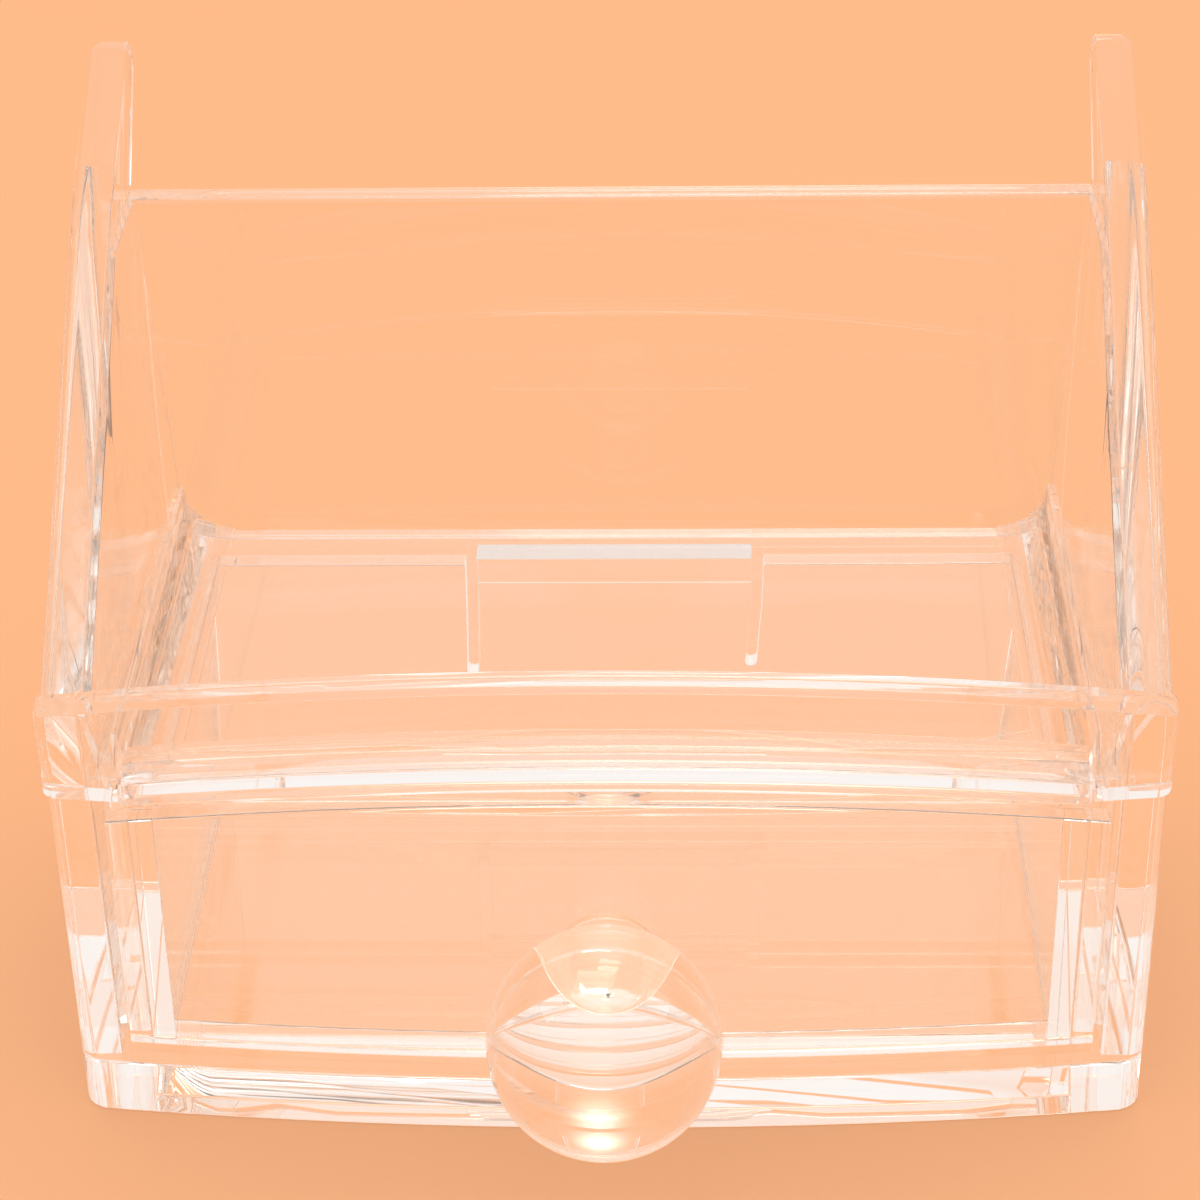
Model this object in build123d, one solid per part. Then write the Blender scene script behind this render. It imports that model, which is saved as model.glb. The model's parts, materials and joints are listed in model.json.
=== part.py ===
from build123d import *
import os

# Clear cotton pad holder with a drawer. Millimetres, +X right, +Y back, +Z up.
# The origin is on the table, in the middle of the housing's width, where the drawer's slide passes.

# Housing
WIDTH = 135.0            # over the side panels
PANEL = 5.5              # side panel thickness
BASE = 8.0               # base, which is a sill in front and a rim at the sides
BASE_FLOOR = 3.0         # base under the drawer, behind the sill
SILL_DEPTH = 14.0
PLATE = 4.0              # shelf and rear walls
FRONT_Y = -40.0          # front edges of the side panels
REAR_Y = 27.0            # rear faces of the housing
LIP_Z = 60.9             # top of the lip at its ends
SHELF_Z = 44.6           # underside of the shelf
BACK_TOP_Z = 97.6        # top of the back wall
BACK_TOP_ROUND = 1.0
SLOPE_START_Z = 58.2     # where the line of the sloped edge meets the panel's front edge
SLOPE_KNEE = (10.3, 100.0)
EAR_TIP = (35.6, 115.0)
EAR_HEEL = (38.3, 111.0)
KNEE_ROUND = 22.0        # radius of the soft knee in the sloped edge
EAR_ROUND = 2.4          # radius of the ear's corners
EDGE_ROUND = 2.2         # rounding of the outer long edges
CORNER_ROUND = 3.5       # rounding of the base plate's corners, seen from above

# Every front is one arc in plan, and the lip is also arched as seen from the front
BOW = 4.0                # how far the middle of a front stands ahead of its ends
ARCH = 6.0               # how far the middle of the lip stands above its ends
RAIL_PROUD = 2.3         # how far the lip's ends stand ahead of the panels
RAIL_DEPTH = 5.0         # thickness of the lip
BASE_PROUD = 0.8         # how far the base plate stands ahead of the panels

# Lip and the header under it, as heights at the ends of the arch
HEADER_TOP_Z = 50.6
HEADER_BOTTOM_Z = 47.2
HEADER_DEPTH = 10.5
HEADER_DRAFT = 1.5       # degrees by which its underside rises to the rear
BLOCK_BOTTOM_Z = 49.6    # underside of the lip's end blocks
BLOCK_WIDTH = 9.8
NOSE_DEPTH = 2.2         # upright front border of the shelf, which carries the header

# Sides of the bin: sheets that lean in from the panels' top edges and meet the floor in a cove
LINER = 0.9              # thickness of a sheet, measured across the bin
LINER_LEAN = 3.4         # how far its inner face stands in from the panel at the floor
COVE_RADIUS = 6.5
COVE_TOE = 0.25          # thickness of the cove where it ends on the floor

# Drawer
CHEEK = 3.2              # thickness of the runners beside the drawer
GAP = 0.5                # air around the drawer
DRAWER_WALL = 3.0
DRAWER_FRONT_Y = -37.5   # front face of the drawer at the panels
DRAWER_FRONT_HALF = 61.2
DRAWER_REAR_Y = 22.2
DRAWER_SIDE_Z = 42.5     # top of the drawer's side and back walls
FRONT_TOP_Z = 41.9       # top of the drawer's front at the ends of the arch

# Springy finger in the middle of the drawer's back, and the rib it stops at
FINGER_WIDTH = 39.0
FINGER_TOP_Z = 44.1
FINGER_ROOT_Z = 25.0
FINGER_SLOT = 1.6
BARB_DEPTH = 0.8
BARB_HEIGHT = 4.0
RIB_DROP = 1.4
RIB_DEPTH = 2.0
TRAVEL = 45.0            # how far the drawer comes out

# Knob
KNOB_Z = 25.4
BALL_RADIUS = 14.1
NECK_RADIUS = 4.1
NECK_LENGTH = 1.9        # from the collar to the ball
NECK_SINK = 0.8          # how far the neck is let into the ball
PEG_RADIUS = 3.6         # round-ended peg that goes on from the neck
PEG_DEPTH = 9.5          # how deep it enters the ball
COLLAR_RADIUS = 6.4
COLLAR_LENGTH = 1.2

# Values that follow from the sizes above
HALF = WIDTH / 2
INNER = HALF - PANEL
TALL = 200.0             # longer than the object, for cutting tools
BLOCK_INNER = HALF - BLOCK_WIDTH
BIN_FLOOR_Z = SHELF_Z + PLATE
DRAWER_FRONT_BACK_Y = DRAWER_FRONT_Y + DRAWER_WALL
DRAWER_HALF = INNER - CHEEK - GAP
DRAWER_BOTTOM_Z = BASE + GAP
KNOB_FACE_Y = DRAWER_FRONT_Y - BOW
BALL_Y = KNOB_FACE_Y - COLLAR_LENGTH - NECK_LENGTH - BALL_RADIUS


def arc_radius(half, rise):
    """Radius of an arc of the given half chord and rise."""
    return (half * half + rise * rise) / (2 * rise)


BOW_RADIUS = arc_radius(HALF, BOW)
ARCH_RADIUS = arc_radius(HALF, ARCH)


def bow_disc(end_y):
    """Everything behind the bowed front whose ends, at the panels' outer faces, are at end_y."""
    disc = Cylinder(BOW_RADIUS, TALL, align=(Align.CENTER, Align.CENTER, Align.MIN))
    return Pos(0, end_y - BOW + BOW_RADIUS, 0) * disc


def arch_disc(end_z):
    """Everything under the arch whose ends, at the panels' outer faces, are at end_z."""
    disc = Rot(90, 0, 0) * Cylinder(ARCH_RADIUS, 2 * TALL)
    return Pos(0, 0, end_z + ARCH - ARCH_RADIUS) * disc


def block(x0, x1, y0, y1, z0, z1):
    """Box between two corners."""
    box = Box(x1 - x0, y1 - y0, z1 - z0, align=(Align.MIN, Align.MIN, Align.MIN))
    return Pos(x0, y0, z0) * box


def bow_band(half, end_y, depth, z0, z1):
    """Bowed bar of even depth and the given half length."""
    bar = block(-half, half, -TALL, 0, z0, z1) & bow_disc(end_y)
    return bar - bow_disc(end_y + depth)


def lip_band(half, z0, z1, depth=RAIL_DEPTH):
    """Bar behind the front face of the lip."""
    return bow_band(half, FRONT_Y - RAIL_PROUD, depth, z0, z1)


def lip_rail():
    lip = lip_band(HALF, BLOCK_BOTTOM_Z, LIP_Z + ARCH) & arch_disc(LIP_Z)
    lip = lip - arch_disc(HEADER_TOP_Z)
    ends = lip_band(HALF, BLOCK_BOTTOM_Z, LIP_Z) & arch_disc(LIP_Z)
    ends = ends - block(-BLOCK_INNER, BLOCK_INNER, -TALL, 0, 0, TALL)
    lip = lip + ends
    envelope = block(-HALF, HALF, -TALL, 0, 0, TALL) & bow_disc(FRONT_Y - RAIL_PROUD)
    envelope = fillet(envelope.edges().filter_by(Axis.Z), EDGE_ROUND)
    return lip & envelope


def under_header():
    """Everything under the header's underside, which rises to the rear from the lip's face."""
    front_y = FRONT_Y - RAIL_PROUD - BOW
    return Pos(0, front_y, 0) * Rot(HEADER_DRAFT, 0, 0) * Pos(0, -front_y, 0) * arch_disc(HEADER_BOTTOM_Z)


def header_strip():
    band = lip_band(BLOCK_INNER, HEADER_BOTTOM_Z - ARCH, HEADER_TOP_Z + ARCH, HEADER_DEPTH)
    return (band & arch_disc(HEADER_TOP_Z)) - under_header() - shelf_plate()


def panel_outline():
    """Side view of a side panel, as points in (y, z)."""
    return [
        (FRONT_Y, BASE),
        (FRONT_Y, SLOPE_START_Z),
        SLOPE_KNEE,
        EAR_TIP,
        EAR_HEEL,
        (REAR_Y, BACK_TOP_Z),
        (REAR_Y, BASE),
    ]


def side_panel(side):
    plate = Pos(INNER, 0, 0) * extrude(Plane.YZ * make_face(Polyline(*panel_outline(), close=True)), PANEL)
    for (y, z), radius in ((SLOPE_KNEE, KNEE_ROUND), (EAR_TIP, EAR_ROUND), (EAR_HEEL, EAR_ROUND)):
        cross_edges = plate.edges().filter_by(Axis.X)
        plate = fillet(cross_edges.sort_by_distance((HALF - PANEL / 2, y, z))[0], radius)
    outer = plate.edges().filter_by_position(Axis.X, HALF, HALF)
    outer = outer.filter_by(lambda edge: edge.center().Z > BASE + 0.1)
    plate = fillet(outer, EDGE_ROUND)
    plate = plate - lip_band(TALL, BLOCK_BOTTOM_Z, LIP_Z + ARCH)
    return plate if side > 0 else mirror(plate, Plane.YZ)


def base_plate():
    plate = block(-HALF, HALF, -TALL, REAR_Y, 0, BASE) & bow_disc(FRONT_Y - BASE_PROUD)
    plate = fillet(plate.edges().filter_by(Axis.Z), CORNER_ROUND)
    inner = INNER - CHEEK
    well = block(-inner, inner, -TALL, REAR_Y - PLATE, BASE_FLOOR, BASE)
    return plate - (well & bow_disc(FRONT_Y - BASE_PROUD + SILL_DEPTH))


def shelf_plate():
    plate = block(-INNER, INNER, -TALL, REAR_Y - PLATE, SHELF_Z, BIN_FLOOR_Z)
    return plate & bow_disc(DRAWER_FRONT_BACK_Y + GAP)


def shelf():
    nose = bow_band(BLOCK_INNER, DRAWER_FRONT_BACK_Y + GAP, NOSE_DEPTH, BIN_FLOOR_Z, LIP_Z)
    return shelf_plate() + (nose & under_header())


def liner_section(y, top_z):
    """Slice across the right side of the bin."""
    corners = [
        (INNER - LINER_LEAN + LINER, y, BIN_FLOOR_Z),
        (INNER - LINER_LEAN, y, BIN_FLOOR_Z),
        (INNER - LINER, y, top_z),
        (INNER, y, top_z),
    ]
    return make_face(Polyline(*corners, close=True))


def bin_side(side):
    slope = (SLOPE_KNEE[1] - SLOPE_START_Z) / (SLOPE_KNEE[0] - FRONT_Y)
    bend_y = FRONT_Y + (BACK_TOP_Z - SLOPE_START_Z) / slope
    front = liner_section(FRONT_Y, SLOPE_START_Z)
    bend = liner_section(bend_y, BACK_TOP_Z)
    rear = liner_section(REAR_Y - PLATE, BACK_TOP_Z)
    wall = loft([front, bend], ruled=True) + loft([bend, rear], ruled=True)
    wall = wall - lip_band(TALL, 0, TALL)
    return wall if side > 0 else mirror(wall, Plane.YZ)


def bin_cove(side):
    foot = INNER - LINER_LEAN
    reach = COVE_RADIUS + COVE_TOE
    bar = block(foot - reach, foot + LINER / 2, -TALL, REAR_Y - PLATE, BIN_FLOOR_Z, BIN_FLOOR_Z + reach)
    hollow = Rot(90, 0, 0) * Cylinder(COVE_RADIUS, 2 * TALL)
    bar = bar - Pos(foot - reach, 0, BIN_FLOOR_Z + reach) * hollow
    bar = bar & bow_disc(DRAWER_FRONT_BACK_Y + GAP)
    bar = bar - bin_side(1) - header_strip() - shelf()
    return bar if side > 0 else mirror(bar, Plane.YZ)


def back_wall():
    wall = block(-INNER, INNER, REAR_Y - PLATE, REAR_Y, SHELF_Z, BACK_TOP_Z)
    top = wall.edges().filter_by(Axis.X).group_by(Axis.Z)[-1]
    return fillet(top, BACK_TOP_ROUND)


def bay_rear_wall():
    return block(-INNER, INNER, REAR_Y - PLATE, REAR_Y, BASE, SHELF_Z)


def bay_cheek(side):
    cheek = block(INNER - CHEEK, INNER, DRAWER_FRONT_BACK_Y + GAP, REAR_Y - PLATE, BASE, SHELF_Z)
    return cheek if side > 0 else mirror(cheek, Plane.YZ)


def stop_rib():
    """Rib under the shelf, which the drawer's finger meets at the end of the travel."""
    half = FINGER_WIDTH / 2
    rear = DRAWER_REAR_Y - DRAWER_WALL - BARB_DEPTH - TRAVEL - GAP
    return block(-half, half, rear - RIB_DEPTH, rear, SHELF_Z - RIB_DROP, SHELF_Z)


def drawer_front():
    band = bow_band(DRAWER_FRONT_HALF, DRAWER_FRONT_Y, DRAWER_WALL, DRAWER_BOTTOM_Z, SHELF_Z + ARCH)
    return band & arch_disc(FRONT_TOP_Z)


def drawer_side(side):
    wall = block(DRAWER_HALF - DRAWER_WALL, DRAWER_HALF, -TALL, DRAWER_REAR_Y, DRAWER_BOTTOM_Z, DRAWER_SIDE_Z)
    wall = wall & bow_disc(DRAWER_FRONT_BACK_Y)
    return wall if side > 0 else mirror(wall, Plane.YZ)


def drawer_back():
    half = DRAWER_HALF - DRAWER_WALL
    face = DRAWER_REAR_Y - DRAWER_WALL
    finger = FINGER_WIDTH / 2
    wall = block(-half, half, face, DRAWER_REAR_Y, DRAWER_BOTTOM_Z, DRAWER_SIDE_Z)
    wall = wall + block(-finger, finger, face, DRAWER_REAR_Y, DRAWER_SIDE_Z, FINGER_TOP_Z)
    wall = wall + block(-finger, finger, face - BARB_DEPTH, face, FINGER_TOP_Z - BARB_HEIGHT, FINGER_TOP_Z)
    height = 2 * (FINGER_TOP_Z - FINGER_ROOT_Z)
    slot = Plane.XZ * SlotCenterToCenter(height, FINGER_SLOT, rotation=90)
    for x in (-finger, finger):
        wall = wall - Pos(x, face, FINGER_TOP_Z) * extrude(slot, TALL, both=True)
    return wall


def drawer_floor():
    half = DRAWER_HALF - DRAWER_WALL
    rear = DRAWER_REAR_Y - DRAWER_WALL
    plate = block(-half, half, -TALL, rear, DRAWER_BOTTOM_Z, DRAWER_BOTTOM_Z + DRAWER_WALL)
    return plate & bow_disc(DRAWER_FRONT_BACK_Y)


def forward_cylinder(radius, y0, y1):
    """Cylinder along Y between two places."""
    bar = Rot(90, 0, 0) * Cylinder(radius, y1 - y0)
    return Pos(0, (y0 + y1) / 2, KNOB_Z) * bar


def post():
    """Neck and peg, from inside the ball to behind the drawer's face."""
    ball_rear = BALL_Y + BALL_RADIUS
    peg_end = ball_rear - PEG_DEPTH + PEG_RADIUS
    neck = forward_cylinder(NECK_RADIUS, ball_rear - NECK_SINK, KNOB_FACE_Y + BOW)
    peg = forward_cylinder(PEG_RADIUS, peg_end, KNOB_FACE_Y)
    return neck + peg + Pos(0, peg_end, KNOB_Z) * Sphere(PEG_RADIUS)


def knob_ball():
    return Pos(0, BALL_Y, KNOB_Z) * Sphere(BALL_RADIUS) - post()


def knob_stem():
    collar = forward_cylinder(COLLAR_RADIUS, KNOB_FACE_Y - COLLAR_LENGTH, KNOB_FACE_Y + BOW)
    return (post() + collar) - bow_disc(DRAWER_FRONT_Y)


NODES = {
    "side_panel_left": side_panel(-1),
    "side_panel_right": side_panel(1),
    "base_plate": base_plate(),
    "shelf": shelf(),
    "back_wall": back_wall(),
    "bay_rear_wall": bay_rear_wall(),
    "lip_rail": lip_rail(),
    "header_strip": header_strip(),
    "bin_side_left": bin_side(-1),
    "bin_side_right": bin_side(1),
    "bin_cove_left": bin_cove(-1),
    "bin_cove_right": bin_cove(1),
    "bay_cheek_left": bay_cheek(-1),
    "bay_cheek_right": bay_cheek(1),
    "stop_rib": stop_rib(),
    "drawer_front": drawer_front(),
    "drawer_side_left": drawer_side(-1),
    "drawer_side_right": drawer_side(1),
    "drawer_back": drawer_back(),
    "drawer_floor": drawer_floor(),
    "knob_stem": knob_stem(),
    "knob_ball": knob_ball(),
}

os.makedirs("parts", exist_ok=True)
for name, solid in NODES.items():
    export_step(solid, f"parts/{name}.step")
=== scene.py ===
import json
import logging
import math
from dataclasses import dataclass
from enum import Enum

import bmesh
import bpy
from mathutils import Matrix, Vector

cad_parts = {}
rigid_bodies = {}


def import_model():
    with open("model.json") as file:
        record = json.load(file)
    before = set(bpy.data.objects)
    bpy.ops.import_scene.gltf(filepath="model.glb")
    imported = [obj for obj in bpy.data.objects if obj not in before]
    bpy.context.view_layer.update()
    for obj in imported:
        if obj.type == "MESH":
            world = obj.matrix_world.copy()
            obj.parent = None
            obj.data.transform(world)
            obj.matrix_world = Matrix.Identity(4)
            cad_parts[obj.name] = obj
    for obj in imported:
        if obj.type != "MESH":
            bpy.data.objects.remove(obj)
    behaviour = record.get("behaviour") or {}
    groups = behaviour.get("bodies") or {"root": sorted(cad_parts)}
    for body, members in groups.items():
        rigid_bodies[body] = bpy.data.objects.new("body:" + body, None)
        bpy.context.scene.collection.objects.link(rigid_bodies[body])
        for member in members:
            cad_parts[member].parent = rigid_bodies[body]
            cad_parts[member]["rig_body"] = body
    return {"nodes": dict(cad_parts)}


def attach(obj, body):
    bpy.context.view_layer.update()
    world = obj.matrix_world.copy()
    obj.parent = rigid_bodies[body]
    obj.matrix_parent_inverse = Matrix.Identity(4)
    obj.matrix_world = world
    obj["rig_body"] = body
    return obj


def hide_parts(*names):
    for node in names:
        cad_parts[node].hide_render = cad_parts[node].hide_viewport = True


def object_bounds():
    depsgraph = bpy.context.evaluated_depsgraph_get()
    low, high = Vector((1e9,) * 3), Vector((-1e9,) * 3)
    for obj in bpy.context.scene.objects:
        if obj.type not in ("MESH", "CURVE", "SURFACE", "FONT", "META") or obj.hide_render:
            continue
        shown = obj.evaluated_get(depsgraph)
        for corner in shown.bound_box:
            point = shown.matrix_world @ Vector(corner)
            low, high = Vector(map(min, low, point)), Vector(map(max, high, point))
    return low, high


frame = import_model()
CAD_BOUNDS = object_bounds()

LOG = logging.getLogger("cotton_pad_holder")
MM = 0.001

# A look through the holder crosses some twenty clear faces, and light is also trapped in its edges
LIGHT_BOUNCES = 48
STYRENE_INDEX = 1.59


def linear(hex_colour: str) -> tuple[float, float, float, float]:
    """Turn an sRGB colour into the linear values that shaders take.

    Args:
        hex_colour: The colour as "#RRGGBB".

    Returns:
        Red, green, blue and an alpha of 1.
    """
    values = []
    for start in (1, 3, 5):
        share = int(hex_colour[start:start + 2], 16) / 255
        values.append(share / 12.92 if share <= 0.04045 else ((share + 0.055) / 1.055) ** 2.4)
    return (*values, 1.0)


def add_node(tree: bpy.types.NodeTree, kind: str, settings: dict | None = None,
             values: dict | None = None, links: dict | None = None) -> bpy.types.Node:
    """Add a node with its settings, its socket values and the links into it.

    Args:
        tree: The node tree to add to.
        kind: The node's type, such as "ShaderNodeTexNoise".
        settings: Attributes of the node.
        values: Input socket name or number to its value.
        links: Input socket name or number to the output socket that feeds it.

    Returns:
        The new node.
    """
    node = tree.nodes.new(kind)
    for name, value in (settings or {}).items():
        setattr(node, name, value)
    for socket, value in (values or {}).items():
        node.inputs[socket].default_value = value
    for socket, output in (links or {}).items():
        tree.links.new(output, node.inputs[socket])
    return node


def empty_material(name: str) -> bpy.types.Material:
    """Make a material whose node tree is bare.

    Args:
        name: The material's name.

    Returns:
        The material.
    """
    material = bpy.data.materials.new(name)
    material.use_nodes = True
    material.node_tree.nodes.clear()
    return material


class Tint(Enum):
    """The faint colour that the light takes on its way through the plastic."""

    WATER_CLEAR = "#FFFDFB"
    THICK = "#FFFCF8"


@dataclass(frozen=True)
class ClearStyrene:
    """Crystal polystyrene from a polished mould.

    It is water clear, and its high index makes the thick edges flash. The mould leaves a faint
    waviness in the faces, and handling leaves a trace of haze. Each face also gives off a faint painted
    glow, which lifts the dark that light trapped in the plastic leaves. With more haze and a stronger
    painted glow it is also the glued surface of the post.
    """

    name: str
    tint: Tint = Tint.WATER_CLEAR
    wave: float = 16.0 * MM
    wave_depth: float = 0.003 * MM
    haze: float = 0.006
    smudge: float = 0.02
    smudge_scale: float = 60.0
    smudge_from: float = 0.55
    smudge_to: float = 0.8
    painted_face_glow: float = 0.003      # painted glow at each face, which lifts the dark of light trapped in the plastic
    index: float = STYRENE_INDEX

    def build(self) -> bpy.types.Material:
        """Make the material.

        Returns:
            The material.
        """
        material = empty_material(self.name)
        tree = material.node_tree
        place = add_node(tree, "ShaderNodeTexCoord")
        wave = add_node(tree, "ShaderNodeTexNoise", values={"Scale": 1 / self.wave, "Detail": 1.0},
                        links={"Vector": place.outputs["Object"]})
        bump = add_node(tree, "ShaderNodeBump", values={"Strength": 1.0, "Distance": self.wave_depth},
                        links={"Height": wave.outputs[0]})
        smudge = add_node(tree, "ShaderNodeTexNoise", values={"Scale": self.smudge_scale, "Detail": 4.0},
                          links={"Vector": place.outputs["Object"]})
        haze = add_node(tree, "ShaderNodeMapRange",
                        values={"From Min": self.smudge_from, "From Max": self.smudge_to,
                                "To Min": self.haze, "To Max": self.haze + self.smudge},
                        links={"Value": smudge.outputs[0]})
        # Emission Strength is a painted glow: the plastic is no lamp, and the glow stands in for trapped
        # light
        shader = add_node(tree, "ShaderNodeBsdfPrincipled",
                          values={"Base Color": linear(self.tint.value), "IOR": self.index,
                                  "Transmission Weight": 1.0, "Emission Strength": self.painted_face_glow},
                          links={"Roughness": haze.outputs[0], "Normal": bump.outputs[0]})
        add_node(tree, "ShaderNodeOutputMaterial", links={"Surface": shader.outputs[0]})
        material.cycles.emission_sampling = "NONE"
        return material


@dataclass(frozen=True)
class CutEdge:
    """The same styrene where a tool has parted it, which leaves a fine, white, torn surface.

    The torn face also glows with painted light, which stands in for the light that the sheet carries to
    its edges.
    """

    name: str
    tint: str = "#FFFFFF"
    grain: float = 0.5 * MM
    grain_depth: float = 0.08 * MM
    # painted glow of the torn face, which is no lamp
    painted_edge_glow: float = 0.35
    roughness: float = 0.4
    clear_share: float = 0.35
    index: float = STYRENE_INDEX

    def build(self) -> bpy.types.Material:
        """Make the material.

        Returns:
            The material.
        """
        material = empty_material(self.name)
        tree = material.node_tree
        place = add_node(tree, "ShaderNodeTexCoord")
        grain = add_node(tree, "ShaderNodeTexNoise", values={"Scale": 1 / self.grain, "Detail": 3.0},
                         links={"Vector": place.outputs["Object"]})
        bump = add_node(tree, "ShaderNodeBump", values={"Strength": 1.0, "Distance": self.grain_depth},
                        links={"Height": grain.outputs[0]})
        shader = add_node(tree, "ShaderNodeBsdfPrincipled",
                          values={"Base Color": linear(self.tint), "IOR": self.index,
                                  "Roughness": self.roughness, "Transmission Weight": self.clear_share,
                                  "Emission Strength": self.painted_edge_glow},
                          links={"Normal": bump.outputs[0]})
        add_node(tree, "ShaderNodeOutputMaterial", links={"Surface": shader.outputs[0]})
        material.cycles.emission_sampling = "NONE"
        return material


@dataclass(frozen=True)
class ClearPiece:
    """How a solid is drawn as a clear piece.

    Its sharp edges are eased as the mould leaves them. It is also swollen by a hair, so that the
    faces that are moulded or glued together overlap, and no air shows in the joint.
    """

    ease: float = 0.35 * MM
    ease_segments: int = 3
    swell: float = 0.015 * MM
    sharp: float = math.radians(33)
    merge: float = 0.002 * MM
    flat: float = math.radians(0.4)

    def build(self, node: str, material: bpy.types.Material) -> bpy.types.Object:
        """Make the piece that stands for a node.

        Args:
            node: The node's name.
            material: Its material.

        Returns:
            The piece.
        """
        source = frame["nodes"][node]
        mesh = self._outline(source.data, node + "_clear")
        mesh.materials.append(material)
        piece = bpy.data.objects.new(node + "_clear", mesh)
        bpy.context.collection.objects.link(piece)
        swell = piece.modifiers.new("swell", "DISPLACE")
        swell.direction = "NORMAL"
        swell.mid_level = 0.0
        swell.strength = self.swell
        ease = piece.modifiers.new("ease", "BEVEL")
        ease.width = self.ease
        ease.segments = self.ease_segments
        ease.limit_method = "ANGLE"
        ease.angle_limit = self.sharp
        ease.harden_normals = True
        bpy.context.view_layer.update()
        graph = bpy.context.evaluated_depsgraph_get()
        shaped = bpy.data.meshes.new_from_object(piece.evaluated_get(graph))
        piece.modifiers.clear()
        piece.data = shaped
        low, high = CAD_BOUNDS
        for vertex in shaped.vertices:
            vertex.co = [min(max(vertex.co[axis], low[axis]), high[axis]) for axis in range(3)]
        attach(piece, source["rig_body"])
        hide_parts(node)
        return piece

    def _outline(self, solid: bpy.types.Mesh, name: str) -> bpy.types.Mesh:
        """Join a solid's triangles into its plane faces.

        Args:
            solid: The solid's mesh.
            name: The new mesh's name.

        Returns:
            The new mesh, smooth up to its sharp edges.
        """
        shape = bmesh.new()
        shape.from_mesh(solid)
        bmesh.ops.remove_doubles(shape, verts=shape.verts, dist=self.merge)
        bmesh.ops.dissolve_limit(shape, angle_limit=self.flat, verts=shape.verts, edges=shape.edges)
        mesh = bpy.data.meshes.new(name)
        shape.to_mesh(mesh)
        shape.free()
        mesh.materials.clear()
        mesh.shade_smooth()
        mesh.set_sharp_from_angle(angle=self.sharp)
        return mesh


@dataclass(frozen=True)
class Housing:
    """The bin and the bay under it."""

    panels: tuple[str, ...] = ("side_panel_left", "side_panel_right", "base_plate")
    bin: tuple[str, ...] = ("shelf", "back_wall", "bin_side_left", "bin_side_right",
                            "bin_cove_left", "bin_cove_right")
    lip: tuple[str, ...] = ("lip_rail", "header_strip")
    bay: tuple[str, ...] = ("bay_rear_wall", "bay_cheek_left", "bay_cheek_right", "stop_rib")

    def build(self, plastic: bpy.types.Material) -> None:
        """Make the pieces.

        Args:
            plastic: Their material.
        """
        for node in self.panels + self.bin + self.lip + self.bay:
            ClearPiece().build(node, plastic)


@dataclass(frozen=True)
class Drawer:
    """The drawer, without its knob. A springy finger is cut free in the middle of its back."""

    front: str = "drawer_front"
    tray: tuple[str, ...] = ("drawer_side_left", "drawer_side_right", "drawer_floor")
    back: str = "drawer_back"
    finger_half: float = 19.5 * MM
    slot: float = 1.6 * MM
    root: float = 23.5 * MM      # the slots lie above this height
    tip: float = 0.4 * MM        # how far down the finger's top counts as cut
    upright: float = 0.7         # the share along Y from which a face is no part of a slot
    corner: float = 0.15 * MM

    def build(self, plastic: bpy.types.Material, cut: bpy.types.Material) -> None:
        """Make the pieces.

        Args:
            plastic: Their material.
            cut: The material of the finger's edges, torn white and with a painted glow.
        """
        ClearPiece().build(self.front, plastic)
        for node in self.tray:
            ClearPiece(ease=self.corner).build(node, plastic)
        back = ClearPiece(ease=self.corner).build(self.back, plastic).data
        back.materials.append(cut)
        top = max(vertex.co.z for vertex in back.vertices)
        for face in back.polygons:
            aside = abs(face.center.x) - self.finger_half
            beside_slot = abs(aside) < 0.6 * self.slot and face.center.z > self.root
            in_slot = beside_slot and abs(face.normal.y) < self.upright
            on_top = aside < 0 and face.center.z > top - self.tip
            if in_slot or on_top:
                face.material_index = 1


@dataclass(frozen=True)
class Knob:
    """The ball and the post that it is glued onto."""

    ball: str = "knob_ball"
    stem: str = "knob_stem"
    ball_rear: float = -44.6 * MM
    ball_ease: float = 0.15 * MM
    stem_ease: float = 0.25 * MM

    def build(self, plastic: bpy.types.Material, glue_and_glow: bpy.types.Material) -> None:
        """Make the pieces.

        Args:
            plastic: Their material.
            glue_and_glow: The material of the post's surface inside the ball, hazier and with a stronger
                painted glow.
        """
        ClearPiece(ease=self.ball_ease).build(self.ball, plastic)
        stem = ClearPiece(ease=self.stem_ease).build(self.stem, plastic).data
        stem.materials.append(glue_and_glow)
        for face in stem.polygons:
            if face.center.y < self.ball_rear:
                face.material_index = 1


@dataclass(frozen=True)
class PhotoCamera:
    """The camera that was fitted to the corners in the photograph."""

    pixels: int = 1200
    focal_pixels: int = 3200
    axis_row: int = 690
    place: tuple[float, float, float] = (10.2 * MM, -354.6 * MM, 268.2 * MM)
    pitch: float = math.radians(33.06)
    yaw: float = math.radians(1.91)
    roll: float = math.radians(-1.14)
    sensor: float = 36.0
    nearest: float = 0.01

    def build(self) -> None:
        """Make the camera and look through it."""
        data = bpy.data.cameras.new("camera")
        data.sensor_width = self.sensor
        data.lens = self.sensor * self.focal_pixels / self.pixels
        data.shift_y = (self.axis_row - self.pixels / 2) / self.pixels
        data.clip_start = self.nearest
        camera = bpy.data.objects.new("camera", data)
        bpy.context.collection.objects.link(camera)
        ahead = Vector((-math.sin(self.yaw) * math.cos(self.pitch),
                        math.cos(self.yaw) * math.cos(self.pitch), -math.sin(self.pitch)))
        level_right = Vector((math.cos(self.yaw), math.sin(self.yaw), 0))
        level_up = level_right.cross(ahead)
        right = math.cos(self.roll) * level_right + math.sin(self.roll) * level_up
        up = math.cos(self.roll) * level_up - math.sin(self.roll) * level_right
        matrix = Matrix((right, up, -ahead)).transposed().to_4x4()
        matrix.translation = Vector(self.place)
        camera.matrix_world = matrix
        bpy.context.scene.camera = camera


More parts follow.
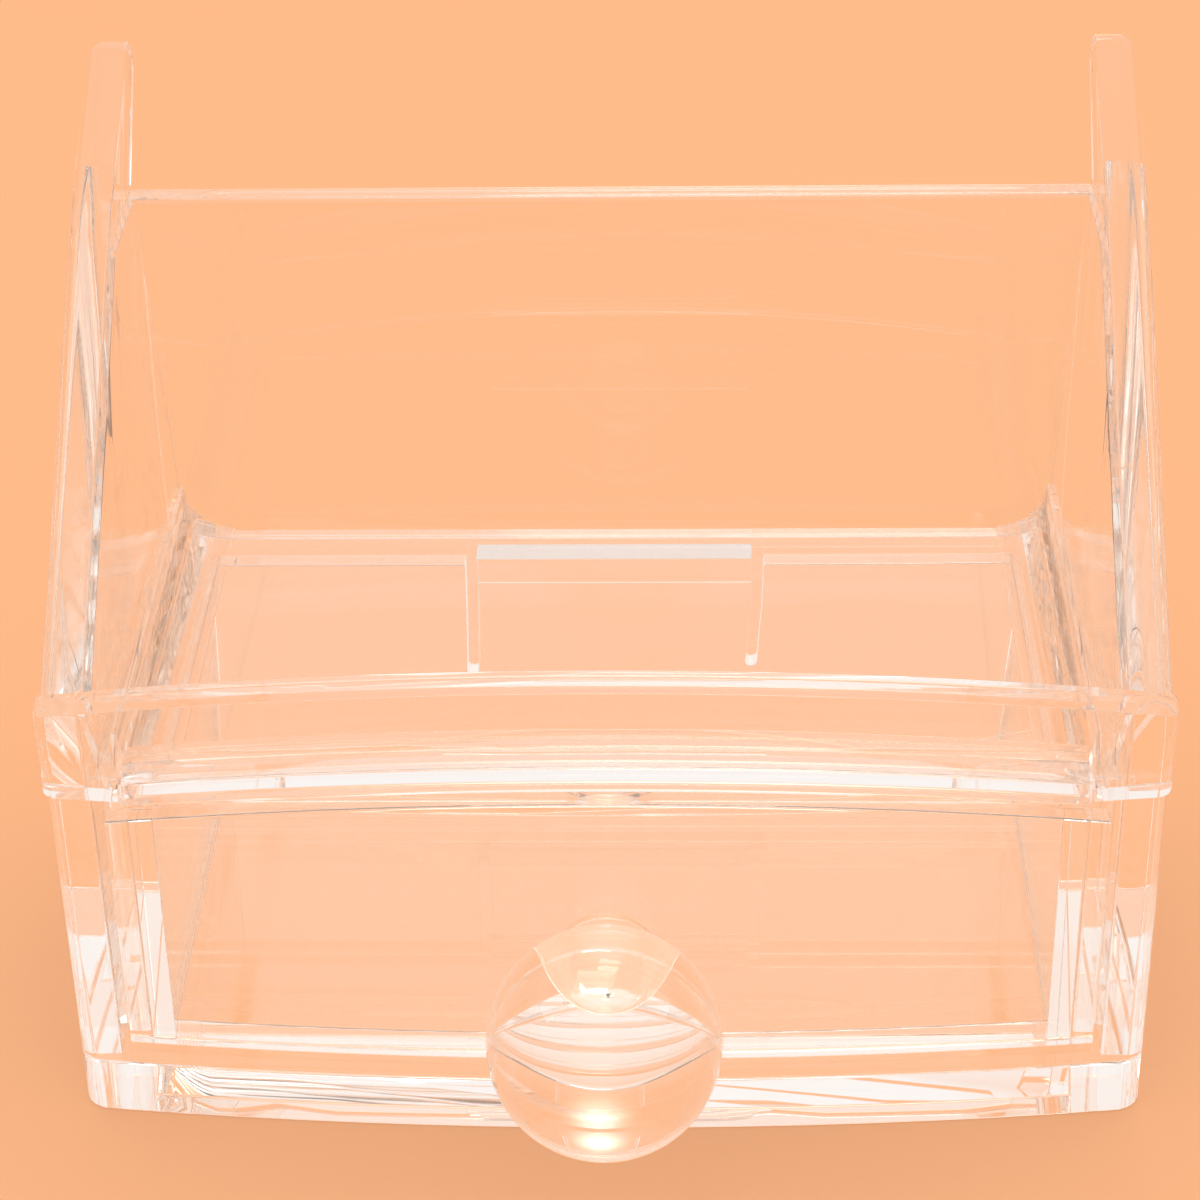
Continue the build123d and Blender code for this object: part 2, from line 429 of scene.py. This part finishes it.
@dataclass(frozen=True)
class SoftBox:
    """A lamp behind a square of white cloth, aimed at the holder."""

    name: str
    place: tuple[float, float, float]
    side: float
    watts: float

    def build(self) -> None:
        """Hang the lamp."""
        data = bpy.data.lights.new(self.name, "AREA")
        data.size = self.side
        data.energy = self.watts
        lamp = bpy.data.objects.new(self.name, data)
        lamp.location = self.place
        lamp.rotation_euler = (-Vector(self.place)).to_track_quat("-Z", "Y").to_euler()
        bpy.context.collection.objects.link(lamp)


@dataclass(frozen=True)
class PaperStudio:
    """A sheet of peach paper under a white tent."""

    paper: str = "#FFBC8C"
    tent: str = "#FFFFFF"
    tent_light: float = 0.95
    paper_up_to: float = 0.30    # sine of the height up to which the surroundings are paper
    tent_from: float = 0.54      # and of the height from which they are white
    glow: float = 0.55       # how much of the paper's colour is plain where it is seen directly
    half: float = 2.5
    air: float = 0.2 * MM    # between the paper and the holder's underside
    window: tuple[float, float, float] = (0.02, 0.986, 0.165)    # direction of the daylight
    window_light: float = 1.8
    window_focus: float = 90.0
    boxes: tuple[SoftBox, ...] = (
        SoftBox("rear_box", (0.05, 0.35, 0.75), 0.22, 0.5),
        SoftBox("left_box", (-0.6, -0.1, 0.6), 0.3, 0.4),
        SoftBox("right_box", (0.6, 0.0, 0.55), 0.3, 0.3),
    )

    def build(self) -> None:
        """Lay the paper, raise the tent and hang the lamps."""
        self._lay_paper()
        self._raise_tent()
        for box in self.boxes:
            box.build()

    def _lay_paper(self) -> None:
        """Lay the sheet.

        The plastic focuses no light here, so through it and in it the paper shows its plain colour,
        and only the paper that is seen directly takes the holder's soft shadow.
        """
        mesh = bpy.data.meshes.new("paper")
        signs = ((-1, -1), (1, -1), (1, 1), (-1, 1))
        corners = [(x * self.half, y * self.half, -self.air) for x, y in signs]
        mesh.from_pydata(corners, [], [(0, 1, 2, 3)])
        material = empty_material("matt_paper")
        tree = material.node_tree
        path = add_node(tree, "ShaderNodeLightPath")
        indirect = add_node(tree, "ShaderNodeMath", {"operation": "MAXIMUM"},
                            links={0: path.outputs["Is Transmission Ray"],
                                   1: path.outputs["Is Glossy Ray"]})
        share = add_node(tree, "ShaderNodeMapRange", values={"To Min": self.glow, "To Max": 1.0},
                         links={"Value": indirect.outputs[0]})
        matt = add_node(tree, "ShaderNodeBsdfDiffuse", values={"Color": linear(self.paper)})
        plain = add_node(tree, "ShaderNodeEmission", values={"Color": linear(self.paper), "Strength": 1.0})
        shader = add_node(tree, "ShaderNodeMixShader",
                          links={0: share.outputs[0], 1: matt.outputs[0], 2: plain.outputs[0]})
        add_node(tree, "ShaderNodeOutputMaterial", links={"Surface": shader.outputs[0]})
        mesh.materials.append(material)
        paper = bpy.data.objects.new("paper", mesh)
        bpy.context.collection.objects.link(paper)

    def _raise_tent(self) -> None:
        """Light the set from all around.

        The tent has the paper's colour low down and white cloth above, and low behind the holder
        daylight comes through it in a soft bright patch.
        """
        world = bpy.data.worlds.new("tent")
        bpy.context.scene.world = world
        world.use_nodes = True
        tree = world.node_tree
        tree.nodes.clear()
        place = add_node(tree, "ShaderNodeTexCoord")
        axes = add_node(tree, "ShaderNodeSeparateXYZ", links={"Vector": place.outputs["Generated"]})
        ramp = add_node(tree, "ShaderNodeValToRGB", links={"Fac": axes.outputs["Z"]})
        low, high = ramp.color_ramp.elements
        low.position = self.paper_up_to
        low.color = linear(self.paper)
        high.position = self.tent_from
        high.color = linear(self.tent)
        light = add_node(tree, "ShaderNodeBackground", values={"Strength": self.tent_light},
                         links={"Color": ramp.outputs[0]})
        toward = add_node(tree, "ShaderNodeVectorMath", {"operation": "DOT_PRODUCT"},
                          values={1: self.window}, links={0: place.outputs["Generated"]})
        ahead = add_node(tree, "ShaderNodeMath", {"operation": "MAXIMUM"}, values={1: 0.0},
                         links={0: toward.outputs["Value"]})
        falloff = add_node(tree, "ShaderNodeMath", {"operation": "POWER"}, values={1: self.window_focus},
                           links={0: ahead.outputs[0]})
        level = add_node(tree, "ShaderNodeMath", {"operation": "MULTIPLY"}, values={1: self.window_light},
                         links={0: falloff.outputs[0]})
        daylight = add_node(tree, "ShaderNodeBackground", values={"Color": linear(self.tent)},
                            links={"Strength": level.outputs[0]})
        both = add_node(tree, "ShaderNodeAddShader", links={0: light.outputs[0], 1: daylight.outputs[0]})
        add_node(tree, "ShaderNodeOutputWorld", links={"Surface": both.outputs[0]})


def main() -> None:
    """Dress the holder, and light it."""
    logging.basicConfig(level=logging.INFO)
    scene = bpy.context.scene
    scene.view_settings.view_transform = "Standard"
    scene.cycles.max_bounces = LIGHT_BOUNCES
    scene.cycles.transmission_bounces = LIGHT_BOUNCES
    scene.cycles.glossy_bounces = LIGHT_BOUNCES
    wall = ClearStyrene("clear_housing").build()
    tray = ClearStyrene("clear_drawer").build()
    ball = ClearStyrene("clear_knob", tint=Tint.THICK, smudge=0.0).build()
    # The finger's torn edges are white and glow with painted light
    cut = CutEdge("cut_edge_painted_glow").build()
    # The post's surface inside the ball: more haze, and a stronger painted glow that whitens its sides
    glue_and_glow = ClearStyrene("glue_haze_painted_glow", haze=0.03, painted_face_glow=0.07).build()
    Housing().build(wall)
    Drawer().build(tray, cut)
    Knob().build(ball, glue_and_glow)
    PhotoCamera().build()
    PaperStudio().build()


if __name__ == "__main__":
    main()
